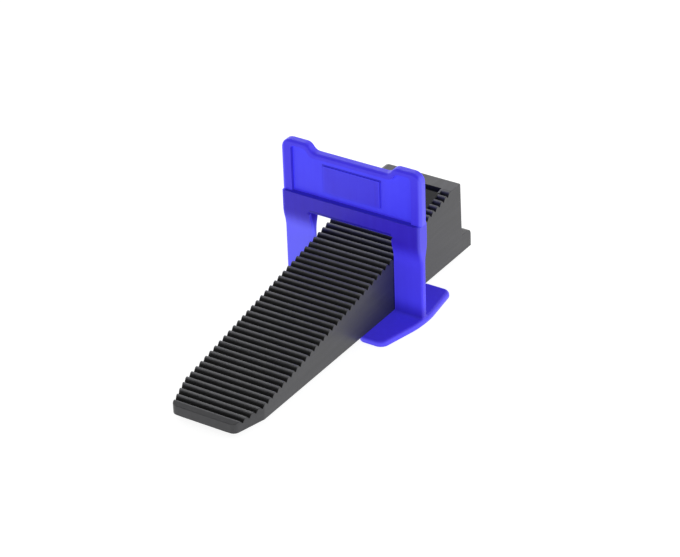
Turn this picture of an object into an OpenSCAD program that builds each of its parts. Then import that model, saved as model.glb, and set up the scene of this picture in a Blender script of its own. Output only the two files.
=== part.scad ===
// Tile levelling clip with its wedge.
// A moulded clip stands on a base plate: two thin legs carry a thick bar and a
// crowned grip panel, and leave a window between them. A ribbed wedge lies on
// the base plate and passes through the window under the bar.
// Millimetres, +Z up, +Y from the wedge's tip to its thick end.

/* [Base plate] */

// Length of the base plate along the wedge
plate_length = 25.9; // [22:0.1:32]
// How far the bend in each side would reach past the leg if it were sharp
plate_margin = 0.5; // [0.35:0.05:1.5]
// Rounding of the bend in each side of the base plate
bend_radius = 22; // [8:0.5:26]
// How far the bend lies in front of the legs
bend_lead = 0.4; // [0:0.1:1.2]
// Angle at which the sides draw in toward the front
front_draw = 13.2; // [8:0.1:15]
// Angle at which the sides draw in toward the rear
rear_draw = 7.9; // [4:0.1:12]
// Thickness of the base plate
plate_thickness = 1.3; // [1:0.1:2.4]
// Rounding of the base plate's four corners seen from above
plate_corner_radius = 2.1; // [1.2:0.1:2.8]
// Width of the recess in the front and rear edges of the base plate
recess_width = 16.8; // [12:0.1:18]
// Depth of that recess
recess_depth = 3; // [2.2:0.1:5]
// Rounding of the corners beside the recess
recess_radius = 1.9; // [0.8:0.1:2.1]

/* [Legs and window] */

// Width of the clip over both legs
clip_width = 34.5; // [33:0.1:36]
// Thickness of a leg, which is the joint left between two tiles
leg_thickness = 1.6; // [1:0.1:2.2]
// Clear height left between the wedge's heel and the bar
head_play = 0.85; // [0.4:0.05:6]
// Play between the wedge and the left leg
left_play = 0.65; // [0.3:0.05:1.4]
// Play between the wedge and the right leg
right_play = 0.35; // [0.3:0.05:1.4]
// Height over which a leg swells to the thickness of the bar
swell_height = 5.4; // [3:0.1:8]
// Fillet where a leg meets the base plate
foot_radius = 0.6; // [0.2:0.1:1.2]

/* [Bar] */

// Thickness of the bar over the window
bar_thickness = 3.3; // [2.8:0.1:4.4]
// Height of the bar
bar_height = 4.15; // [3:0.05:6]
// Rounding of the bar's two lower edges
bar_edge_radius = 0.8; // [0.2:0.1:1.2]

/* [Grip panel] */

// Thickness of the panel over its raised rim
panel_thickness = 2.1; // [1.8:0.1:2.6]
// Height of the panel from the bar to the tops of the ears
panel_height = 12.2; // [10:0.1:16]
// Width of the flat floor of the notch between the ears
notch_width = 17; // [13:0.1:18.4]
// Depth of the notch between the ears
notch_depth = 1.75; // [0.8:0.05:2.2]
// Width of the S-shaped shoulder between notch and ear
shoulder_width = 3.2; // [2.2:0.1:3.6]
// Rounding of the ears' outer corners
ear_radius = 2.5; // [0.8:0.1:3.2]
// Width of the raised rim along the panel's sides
rim_side = 2.3; // [1.4:0.1:2.6]
// Width of the raised rim along the panel's top
rim_top = 1.2; // [0.8:0.1:2]
// Rounding of the recessed field's upper corners
field_radius = 0.8; // [0.3:0.1:1.2]
// Depth of the recessed field in the front face
field_recess_front = 0.6; // [0.2:0.05:0.7]
// Depth of the recessed field in the rear face
field_recess_rear = 0.3; // [0.1:0.05:0.5]
// Width of the plain raised label pad in the front field
label_width = 14.2; // [8:0.1:18]
// Height of the plain raised label pad
label_height = 6.3; // [4:0.1:7]
// Height of the label pad over the field
label_rise = 0.3; // [0.1:0.05:0.5]
// Gap between the label pad and the bar
label_gap = 1.6; // [0.8:0.1:2]

/* [Wedge] */

// Width of the wedge
wedge_width = 19.6; // [18:0.1:21]
// Length of the ribbed incline from the tip to the heel
incline_length = 80.4; // [74:0.1:90]
// Height of the wedge at its tip
tip_height = 2.2; // [1.8:0.1:3]
// Height of the wedge where the incline meets the heel
shoulder_height = 17.5; // [14:0.1:20]
// Dip of the incline under a straight line at half its length
incline_dip = 0.22; // [0:0.02:0.8]
// Length of the nose over which the sides draw in to the tip
nose_length = 7.7; // [5:0.1:12]
// Width of the tip before its corners are rounded
nose_width = 15.2; // [13:0.1:17]
// Rounding of the two upright edges of the tip
nose_radius = 1.5; // [0.5:0.1:2.5]
// How far the tip reaches in front of the clip
tip_reach = 57.5; // [50:0.1:66]

/* [Wedge ribs] */

// Spacing of the ribs along the wedge
rib_pitch = 1.716; // [1.6:0.002:2.4]
// Depth of the grooves between the ribs
rib_depth = 0.75; // [0.4:0.05:1]
// Flat left on the crest of each rib
rib_crest = 0.4; // [0.2:0.05:0.6]
// Flat at the bottom of each groove
rib_root = 0.12; // [0.06:0.02:0.3]
// Distance from the tip to the middle of the first groove
first_groove = 2.19; // [1.4:0.01:2.6]

/* [Wedge heel] */

// Length of the level heel behind the incline
heel_length = 4.45; // [3.5:0.05:7]
// Rise of the heel from the incline to its rear edge
heel_rise = 0; // [0:0.05:0.4]
// Rounding of the heel's upper rear edge
heel_radius = 0.3; // [0.2:0.1:1]
// Length of the ledge behind the heel
ledge_length = 4.1; // [2.5:0.1:6]
// Height of the ledge behind the heel
ledge_height = 4; // [2.4:0.1:5]
// Rounding of the ledge's upper rear edge
ledge_radius = 1.2; // [0.3:0.1:1.6]
// Width of the plain pad in front of the heel
pad_width = 15.5; // [12:0.1:17.4]
// Length of the plain pad
pad_length = 13; // [8:0.1:18]
// How far the cross groove starts in front of the heel
slot_setback = 1.2; // [0.6:0.05:1.6]
// Width of the cross groove between the pad and the heel
slot_width = 1.7; // [1.4:0.1:2.6]
// Length of that cross groove from side to side
slot_span = 14.5; // [10:0.1:16]
// Depth of that cross groove
slot_depth = 1; // [0.5:0.05:1.3]

/* [Wedge underside] */

// Side wall left around the hollow underside
core_wall = 1.8; // [1.4:0.1:2.6]
// Web between the hollows
core_web = 1.4; // [1:0.1:2]
// Material left between the crests and the hollows
core_roof = 2.4; // [2.2:0.1:3.4]
// Distance from the tip to the first hollow
core_start = 20; // [18:0.5:30]
// Rows of hollows along the wedge
core_rows = 8; // [6:1:10]

/* [Hidden] */

$fn = 64;
eps = 0.01;
lap = 0.4;
lift = 0.05;

heel_height = shoulder_height + heel_rise;
wedge_length = incline_length + heel_length + ledge_length;
window_width = wedge_width + left_play + right_play;
wedge_shift = (left_play - right_play) / 2;
leg_width = (clip_width - window_width) / 2;

z_plate = plate_thickness;
z_bar = z_plate + lift + heel_height + head_play;
z_ridge = z_bar + bar_height;
z_top = z_ridge + panel_height;

bend = [clip_width / 2 + plate_margin, -bend_lead];
front_corner = [bend.x - (plate_length / 2 - bend_lead) * tan(front_draw), -plate_length / 2];
rear_corner = [bend.x - (plate_length / 2 + bend_lead) * tan(rear_draw), plate_length / 2];

swell = (bar_thickness - leg_thickness) / 2;
swell_radius = (pow(swell_height, 2) + pow(swell, 2)) / (4 * swell);

groove_count = floor((incline_length - first_groove - rib_pitch / 2) / rib_pitch) + 1;
groove_half = (rib_pitch - rib_crest) / 2;
nose_slope = atan((wedge_width - nose_width) / 2 / nose_length);
nose_cut = nose_radius * tan((90 - nose_slope) / 2);
pad_end = incline_length - slot_setback;
core_end = incline_length + heel_length - core_wall;
core_pitch = (core_end + core_web - core_start) / core_rows;
core_width = (wedge_width - core_web) / 2 - core_wall;

// Height of the wedge at a distance t from its tip, along the rib crests
function crest(t) = tip_height + (shoulder_height - tip_height) * t / incline_length
    - 4 * incline_dip * (t / incline_length) * (1 - t / incline_length);

// Middle of groove k, measured from the tip
function groove_at(k) = first_groove + k * rib_pitch;

// One groove as four points of the wedge's outline
function groove(c) = [
    [c - groove_half, crest(c - groove_half)],
    [c - rib_root / 2, crest(c) - rib_depth],
    [c + rib_root / 2, crest(c) - rib_depth],
    [c + groove_half, crest(c + groove_half)]
];

// Extrude a (Y, Z) outline along X, centred on X = 0
module along_x(width) {
    translate([-width / 2, 0, 0])
        rotate([90, 0, 90])
            linear_extrude(width)
                children();
}

// Extrude an (X, Z) outline along Y between two depths
module along_y(y_front, y_rear) {
    translate([0, y_rear, 0])
        rotate([90, 0, 0])
            linear_extrude(y_rear - y_front)
                children();
}

// Both sides of an outline that is drawn for the right-hand side
module both_sides() {
    children();
    mirror([1, 0]) children();
}

// Section of a slab with its outer upper corner rounded
module slab_section(reach, height, radius) {
    square([reach - radius, height]);
    square([reach, height - radius]);
    translate([reach - radius, height - radius]) circle(radius);
}

// What is taken off at corner p between its two neighbours to round it
module corner_cut(before, p, after, radius) {
    u = (before - p) / norm(before - p);
    w = (after - p) / norm(after - p);
    half = acos(u * w) / 2;
    run = radius / tan(half);
    middle = p + (u + w) / norm(u + w) * radius / sin(half);
    grow = 1 + lap / radius;
    difference() {
        polygon([
            middle,
            middle + (p + u * run - middle) * grow,
            middle + (p - middle) * grow,
            middle + (p + w * run - middle) * grow
        ]);
        translate(middle) circle(radius);
    }
}

// Outline of the base plate: bent sides, rounded corners and a recess at each end
module plate_outline() {
    lobe_front = [recess_width / 2, -plate_length / 2];
    lobe_rear = [recess_width / 2, plate_length / 2];
    inward = [0, recess_depth];
    difference() {
        both_sides()
            polygon([lobe_front - [recess_width, 0], front_corner, bend, rear_corner,
                lobe_rear - [recess_width, 0]]);
        for (end = [-1, 1])
            translate([0, end * (plate_length + lap - recess_depth) / 2])
                square([recess_width, recess_depth + lap], center = true);
        both_sides() {
            corner_cut(lobe_front, front_corner, bend, plate_corner_radius);
            corner_cut(front_corner, bend, rear_corner, bend_radius);
            corner_cut(bend, rear_corner, lobe_rear, plate_corner_radius);
            corner_cut(front_corner, lobe_front, lobe_front + inward, recess_radius);
            corner_cut(rear_corner, lobe_rear, lobe_rear - inward, recess_radius);
        }
    }
}

// Base plate
module base_plate() {
    linear_extrude(plate_thickness)
        plate_outline();
}

// Half of the legs' section: foot fillet, thin leg, swell and bar
module leg_half() {
    half = leg_thickness / 2;
    z_mid = z_bar - swell_height / 2;
    translate([0, z_plate - lap])
        square([half, z_ridge - z_plate + lap]);
    difference() {
        translate([0, z_plate - lap])
            square([half + foot_radius, foot_radius + lap]);
        translate([half + foot_radius, z_plate + foot_radius])
            circle(foot_radius);
    }
    difference() {
        translate([0, z_bar - swell_height])
            square([half + swell / 2, swell_height / 2]);
        translate([half + swell_radius, z_bar - swell_height])
            circle(swell_radius);
    }
    intersection() {
        translate([0, z_mid])
            square([half + swell, swell_height / 2]);
        translate([half + swell - swell_radius, z_bar])
            circle(swell_radius);
    }
    translate([0, z_bar])
        square([half + swell, bar_height]);
}

// Half of the bar's section between the legs
module bar_half() {
    half = bar_thickness / 2;
    radius = min(bar_edge_radius, half - lap);
    translate([0, z_bar])
        square([half - radius, bar_height]);
    translate([0, z_bar + radius])
        square([half, bar_height - radius]);
    translate([half - radius, z_bar + radius])
        circle(radius);
}

// Right-hand half of a crowned outline with an S-shaped shoulder
module crown_half(half, base, top, floor_half, corner) {
    drop = notch_depth;
    z_floor = top - drop;
    x_mid = floor_half + shoulder_width / 2;
    x_ear = floor_half + shoulder_width;
    radius = (pow(shoulder_width, 2) + pow(drop, 2)) / (4 * drop);
    translate([0, base])
        square([x_ear, z_floor - base]);
    difference() {
        translate([floor_half - eps, z_floor - eps])
            square([shoulder_width / 2 + eps, drop / 2 + eps]);
        translate([floor_half, z_floor + radius])
            circle(radius);
    }
    translate([x_mid, z_floor - eps])
        square([shoulder_width / 2, drop / 2 + eps]);
    intersection() {
        translate([x_mid, z_floor + drop / 2])
            square([shoulder_width / 2, drop / 2]);
        translate([x_ear, top - radius])
            circle(radius);
    }
    translate([x_ear - eps, base])
        square([half - corner - x_ear + eps, top - base]);
    translate([x_ear - eps, base])
        square([half - x_ear + eps, top - corner - base]);
    translate([half - corner, top - corner])
        circle(corner);
}

// Outline of the grip panel
module panel_outline() {
    both_sides()
        crown_half(clip_width / 2, z_ridge - lap, z_top, notch_width / 2, ear_radius);
}

// Outline of the recessed field, which follows the panel inside its rim
module field_outline() {
    both_sides()
        crown_half(clip_width / 2 - rim_side, z_ridge, z_top - rim_top,
            notch_width / 2 + rim_top / 2, field_radius);
}

// Grip panel with recessed fields and a plain label pad
module grip_panel() {
    half = panel_thickness / 2;
    field = half - field_recess_front;
    difference() {
        along_y(-half, half)
            panel_outline();
        along_y(-half - lap, -field)
            field_outline();
        along_y(half - field_recess_rear, half + lap)
            field_outline();
    }
    along_y(-field - min(label_rise, field_recess_front), -field + lap / 2)
        translate([-label_width / 2, z_ridge + label_gap])
            square([label_width, label_height]);
}

// Outline of the wedge seen from the side, measured from its tip
module wedge_section() {
    heel_end = incline_length + heel_length;
    polygon(concat(
        [[-lap, 0], [-lap, crest(0)]],
        [for (k = [0:groove_count - 1]) each groove(groove_at(k))],
        [
            [incline_length, crest(incline_length)],
            [heel_end - heel_radius, heel_height],
            [heel_end - heel_radius, 0]
        ]
    ));
    translate([heel_end - 2 * heel_radius, 0])
        square([2 * heel_radius, heel_height - heel_radius]);
    translate([heel_end - heel_radius, heel_height - heel_radius])
        circle(heel_radius);
    translate([heel_end - 2 * heel_radius, 0])
        slab_section(ledge_length + 2 * heel_radius, ledge_height, ledge_radius);
}

// Pad that fills the middle of the last grooves
module pad_section() {
    polygon([
        [pad_end - pad_length, crest(pad_end - pad_length) - 2 * rib_depth],
        [pad_end - pad_length, crest(pad_end - pad_length)],
        [incline_length, crest(incline_length)],
        [incline_length, crest(incline_length) - 2 * rib_depth]
    ]);
}

// Plan of the wedge: parallel sides, drawn in at the nose
module wedge_plan() {
    half = wedge_width / 2;
    tip = nose_width / 2;
    tip_y = nose_cut * cos(nose_slope);
    tip_x = nose_cut * sin(nose_slope);
    both_sides() {
        polygon([
            [0, 0],
            [tip - nose_cut, 0],
            [tip + tip_x, tip_y],
            [half, nose_length],
            [half, wedge_length + lap],
            [0, wedge_length + lap]
        ]);
        translate([tip - nose_cut, nose_radius])
            circle(nose_radius - 2 * eps);
    }
}

// Hollows in the underside, in two columns and several rows
module wedge_cores() {
    for (row = [0:core_rows - 1], side = [-1, 1]) {
        near = core_start + row * core_pitch;
        far = near + core_pitch - core_web;
        translate([side * (core_width + core_web) / 2, 0, 0])
            along_x(core_width)
                polygon([
                    [near, -lap],
                    [near, crest(near) - core_roof],
                    [far, crest(min(far, incline_length)) - core_roof],
                    [far, -lap]
                ]);
    }
}

// The clip, one moulding
module clip() {
    color([0.27, 0.24, 0.86]) {
        base_plate();
        for (side = [-1, 1])
            translate([side * (clip_width - leg_width) / 2, 0, 0])
                along_x(leg_width)
                    both_sides()
                        leg_half();
        along_x(window_width + 2 * lap)
            both_sides()
                bar_half();
        grip_panel();
    }
}

// The wedge, one moulding, lying in the window on the base plate
module wedge() {
    color([0.16, 0.16, 0.17])
        translate([wedge_shift, -tip_reach, z_plate + lift])
            difference() {
                intersection() {
                    union() {
                        along_x(wedge_width + 2 * lap)
                            wedge_section();
                        along_x(pad_width)
                            pad_section();
                    }
                    translate([0, 0, -lap])
                        linear_extrude(heel_height + 2 * lap)
                            wedge_plan();
                }
                along_x(slot_span)
                    translate([pad_end, crest(pad_end) - slot_depth])
                        square([slot_width, 2 * slot_depth + heel_rise]);
                wedge_cores();
            }
}

clip();
wedge();
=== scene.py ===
"""Looks of a tile levelling clip: a blue moulded clip with a black ribbed wedge through its window."""

import logging
import math
from dataclasses import dataclass
from enum import Enum, auto
from functools import reduce
from operator import add, mul
from typing import Any, Callable, Iterable, Mapping, NamedTuple, Optional, Sequence, Tuple, Union

import bmesh
import bpy
from bmesh.types import BMEdge, BMesh, BMFace, BMVert
from mathutils import Matrix, Vector


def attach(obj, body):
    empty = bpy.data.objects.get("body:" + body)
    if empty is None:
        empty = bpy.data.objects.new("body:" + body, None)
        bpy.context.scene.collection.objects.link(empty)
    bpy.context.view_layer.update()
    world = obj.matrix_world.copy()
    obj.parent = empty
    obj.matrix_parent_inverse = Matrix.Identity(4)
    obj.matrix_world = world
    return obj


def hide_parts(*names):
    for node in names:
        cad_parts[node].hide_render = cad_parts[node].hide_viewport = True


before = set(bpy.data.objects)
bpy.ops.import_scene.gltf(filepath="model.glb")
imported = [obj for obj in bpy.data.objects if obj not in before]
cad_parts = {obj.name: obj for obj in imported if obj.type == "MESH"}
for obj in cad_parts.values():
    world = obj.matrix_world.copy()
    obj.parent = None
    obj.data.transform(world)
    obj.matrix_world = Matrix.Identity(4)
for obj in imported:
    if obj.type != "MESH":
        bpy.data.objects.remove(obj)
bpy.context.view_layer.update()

LOG = logging.getLogger("levelling_clip")
MM = 0.001
IMAGE_WIDTH = 680
IMAGE_HEIGHT = 557

# Places closer than this, in millimetres, count as one; the second value is for crowded places.
NEAR = 1e-3
CLOSE = 1e-4
# Corners closer than this, in millimetres, are one corner.
TINY = 1e-5
# An edge is steep where its two faces turn by more than this, in radians.
STEEP = 1.0
# A face looks along a direction when its normal has more than this share of it.
FACING = 0.9
# Depth of the grain moulded into the plastics, in metres.
RELIEF = 0.0001

Colour = Tuple[float, float, float, float]
Point = Tuple[float, float, float]
Range = Tuple[float, float]


class Axis(Enum):
    """The three directions of the shared frame."""

    X = Vector((1.0, 0.0, 0.0))
    Y = Vector((0.0, 1.0, 0.0))
    Z = Vector((0.0, 0.0, 1.0))


class Body(Enum):
    """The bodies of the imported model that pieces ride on."""

    CLIP = "clip"
    WEDGE = "wedge"


class MixColour(Enum):
    """Numbers of the colour sockets on a Mix node."""

    FIRST = 6
    SECOND = 7
    RESULT = 2


class Reading(Enum):
    """What soft masks measure on a piece: millimetres, or shares for the last three."""

    X = auto()
    Y = auto()
    Z = auto()
    ACROSS = auto()
    DEPTH = auto()
    UNDER_CROWN = auto()
    OFF_LABEL = auto()
    BESIDE_LABEL = auto()
    OFF_REAR_FIELD = auto()
    BEHIND_EDGE = auto()
    BELOW_CREST = auto()
    OFF_MIDDLE = auto()
    ALONG = auto()
    SIDEWAYS = auto()
    UPWARD = auto()


class Rounding(NamedTuple):
    """How far a rounding reaches from its edge in millimetres, and the faces across it.

    The reach is measured along the neighbouring edges where along_edges is set.
    """

    reach: float
    steps: int
    along_edges: bool = False


class Fade(NamedTuple):
    """One soft step of a mask: 0 where the reading is at start, 1 where it is at end."""

    reading: Reading
    start: float
    end: float


Spot = Tuple[Fade, ...]


class Layer(NamedTuple):
    """A spot and the share it adds to a value."""

    spot: Spot
    share: float


def paint(red: int, green: int, blue: int) -> Colour:
    """Turn a display colour into the linear colour a shader takes.

    Args:
        red: Red from 0 to 255.
        green: Green from 0 to 255.
        blue: Blue from 0 to 255.

    Returns:
        The linear colour with full alpha.
    """

    def linear(level: int) -> float:
        """Undo the display curve of one channel."""
        part = level / 255.0
        return part / 12.92 if part <= 0.04045 else ((part + 0.055) / 1.055) ** 2.4

    return linear(red), linear(green), linear(blue), 1.0


def parts(steps: int) -> list[float]:
    """Give even steps from 0 to 1."""
    return [step / steps for step in range(steps + 1)]


def quarter(steps: int) -> list[float]:
    """Give the angles of a quarter turn in even steps, in radians."""
    return [math.pi / 2 * part for part in parts(steps)]


def sides(places: Iterable[float]) -> list[float]:
    """Give places on both sides of the middle plane."""
    return [side * place for place in places for side in (-1, 1)]


def span(edge: BMEdge, axis: Axis) -> float:
    """Give the length of an edge along one direction."""
    return abs((edge.verts[0].co - edge.verts[1].co).dot(axis.value))


def both(edge: BMEdge, rule: Callable[[Vector], bool]) -> bool:
    """Tell whether both ends of an edge follow a rule."""
    return all(rule(vert.co) for vert in edge.verts)


def steep(edge: BMEdge) -> bool:
    """Tell whether the two faces at an edge meet at a steep angle."""
    return edge.calc_face_angle(0.0) > STEEP


class Shell:
    """One closed skin of a moulding, held as a bmesh in millimetres."""

    def __init__(self) -> None:
        """Start with an empty skin."""
        self.bm = bmesh.new()

    @classmethod
    def block(cls, low: Point, high: Point) -> "Shell":
        """Make a rectangular blank between two corners.

        Args:
            low: Lowest corner in millimetres.
            high: Highest corner in millimetres.

        Returns:
            The blank.
        """
        shell = cls()
        made = bmesh.ops.create_cube(shell.bm, size=1.0)["verts"]
        size = [top - bottom for bottom, top in zip(low, high)]
        middle = [(top + bottom) / 2 for bottom, top in zip(low, high)]
        bmesh.ops.scale(shell.bm, vec=size, verts=made)
        bmesh.ops.translate(shell.bm, vec=middle, verts=made)
        return shell

    @classmethod
    def sheet(cls, outline: Sequence[Point], thickness: Vector) -> "Shell":
        """Draw a flat outline of a few corners and extrude it into a plate.

        Args:
            outline: Corners of the flat outline in order.
            thickness: Direction and length of the extrusion.

        Returns:
            The plate.
        """
        shell = cls()
        face = shell.bm.faces.new([shell.bm.verts.new(corner) for corner in outline])
        grown = bmesh.ops.extrude_face_region(shell.bm, geom=[face], use_keep_orig=True)["geom"]
        moved = [part for part in grown if isinstance(part, BMVert)]
        bmesh.ops.translate(shell.bm, vec=thickness, verts=moved)
        bmesh.ops.recalc_face_normals(shell.bm, faces=shell.bm.faces[:])
        return shell

    def slice(
        self, axis: Axis, cuts: Iterable[float], test: Optional[Callable[[BMFace], bool]] = None
    ) -> None:
        """Cut edge loops across the skin.

        Args:
            axis: Direction the cutting planes face.
            cuts: Places of the planes along that direction.
            test: Picks the faces to cut; all of them when it is left out.
        """
        for cut in sorted(cuts):
            self.bm.normal_update()
            picked = [face for face in self.bm.faces if test is None or test(face)]
            region = dict.fromkeys(part for face in picked for part in (face, *face.edges, *face.verts))
            bmesh.ops.bisect_plane(
                self.bm,
                geom=list(region),
                dist=TINY,
                plane_co=axis.value * cut,
                plane_no=axis.value,
            )

    def reshape(self, rule: Callable[[Vector], Vector]) -> None:
        """Move every corner of the skin by a rule.

        Args:
            rule: Gives the new place of a corner from its old place.
        """
        for vert in self.bm.verts:
            vert.co = rule(vert.co.copy())
        self.bm.normal_update()

    def edges(self, test: Callable[[BMEdge], bool]) -> list[BMEdge]:
        """Pick the edges between two faces that pass a test."""
        return [edge for edge in self.bm.edges if len(edge.link_faces) == 2 and test(edge)]

    def faces(self, test: Callable[[BMFace], bool]) -> list[BMFace]:
        """Pick the faces that pass a test."""
        return [face for face in self.bm.faces if test(face)]

    def round(self, edges: Sequence[BMEdge], rounding: Rounding) -> None:
        """Round edges with a bevel of even steps.

        Args:
            edges: Edges to round.
            rounding: Reach and steps of the bevel.
        """
        bmesh.ops.bevel(
            self.bm,
            geom=list(edges),
            offset=rounding.reach,
            offset_type="ABSOLUTE" if rounding.along_edges else "OFFSET",
            segments=rounding.steps,
            profile=0.5,
            affect="EDGES",
            clamp_overlap=False,
            material=-1,
        )
        self.bm.normal_update()

    def draw_out(self, faces: Sequence[BMFace]) -> Tuple[list[BMVert], list[BMFace]]:
        """Extrude a group of faces as one; their old place is left open.

        Args:
            faces: Faces to extrude.

        Returns:
            The corners and the faces of the new end, which still lie in the old place.
        """
        region = dict.fromkeys(part for face in faces for part in (face, *face.edges))
        grown = bmesh.ops.extrude_face_region(self.bm, geom=list(region))["geom"]
        corners = [part for part in grown if isinstance(part, BMVert)]
        return corners, [part for part in grown if isinstance(part, BMFace)]

    def mirrored(self) -> None:
        """Add a copy of the skin on the other side of the middle plane and join the two."""
        every = self.bm.verts[:] + self.bm.edges[:] + self.bm.faces[:]
        bmesh.ops.mirror(self.bm, geom=every, axis="X", merge_dist=CLOSE)


def put_in_scene(name: str, skin: BMesh) -> bpy.types.Object:
    """Turn a finished skin into an object of the scene.

    Args:
        name: Name of the object.
        skin: Skin in metres, which is used up.

    Returns:
        The object, at the origin.
    """
    mesh = bpy.data.meshes.new(name)
    skin.to_mesh(mesh)
    skin.free()
    obj = bpy.data.objects.new(name, mesh)
    bpy.context.scene.collection.objects.link(obj)
    return obj


def cast(
    name: str, shells: Sequence[Shell], sharp: float = 38.0, evenness: int = 80
) -> bpy.types.Object:
    """Join skins into one object in metres, with crisp edges marked.

    Args:
        name: Name of the object.
        shells: Skins in millimetres.
        sharp: Angle in degrees above which an edge stays crisp.
        evenness: How much large faces stay flat, where 50 is even.

    Returns:
        The object, at the origin.
    """
    whole = bmesh.new()
    for shell in shells:
        part = bpy.data.meshes.new(name + "_skin")
        shell.bm.to_mesh(part)
        shell.bm.free()
        whole.from_mesh(part)
        bpy.data.meshes.remove(part)
    bmesh.ops.dissolve_degenerate(whole, dist=TINY, edges=whole.edges[:])
    bmesh.ops.recalc_face_normals(whole, faces=whole.faces[:])
    bmesh.ops.scale(whole, vec=(MM, MM, MM), verts=whole.verts[:])
    for face in whole.faces:
        face.smooth = True
    for edge in whole.edges:
        edge.smooth = len(edge.link_faces) == 2 and edge.calc_face_angle(0.0) < math.radians(sharp)
    obj = put_in_scene(name, whole)
    weighted = obj.modifiers.new("even_faces", "WEIGHTED_NORMAL")
    weighted.mode = "FACE_AREA"
    weighted.weight = evenness
    weighted.keep_sharp = True
    return obj


class Wire:
    """A value between shader nodes; Python operators on it add Math nodes."""

    def __init__(self, tree: "ShaderTree", socket: bpy.types.NodeSocket) -> None:
        """Wrap an output socket.

        Args:
            tree: Tree the socket belongs to.
            socket: Output socket.
        """
        self.tree = tree
        self.socket = socket

    def _maths(self, operation: str, *values: "Level") -> "Wire":
        """Add one Math node."""
        return self.tree.maths(operation, *values)

    def __add__(self, other: "Level") -> "Wire":
        """Add a value."""
        return self._maths("ADD", self, other)

    def __radd__(self, other: "Level") -> "Wire":
        """Add to a number."""
        return self._maths("ADD", other, self)

    def __sub__(self, other: "Level") -> "Wire":
        """Take a value away."""
        return self._maths("SUBTRACT", self, other)

    def __rsub__(self, other: "Level") -> "Wire":
        """Take away from a number."""
        return self._maths("SUBTRACT", other, self)

    def __mul__(self, other: "Level") -> "Wire":
        """Multiply by a value."""
        return self._maths("MULTIPLY", self, other)

    def __rmul__(self, other: "Level") -> "Wire":
        """Multiply a number."""
        return self._maths("MULTIPLY", other, self)

    def __truediv__(self, other: "Level") -> "Wire":
        """Divide by a value."""
        return self._maths("DIVIDE", self, other)

    def __abs__(self) -> "Wire":
        """Drop the sign."""
        return self._maths("ABSOLUTE", self)

    def between(self, start: float, end: float) -> "Wire":
        """Rise smoothly from 0 at start to 1 at end; a start above the end falls instead.

        Args:
            start: Level that gives 0.
            end: Level that gives 1.

        Returns:
            The eased value.
        """
        made = self.tree.node(
            "ShaderNodeMapRange",
            {"interpolation_type": "SMOOTHSTEP"},
            {"Value": self, "From Min": start, "From Max": end},
        )
        return Wire(self.tree, made.outputs["Result"])


Level = Union[Wire, float]


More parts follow.
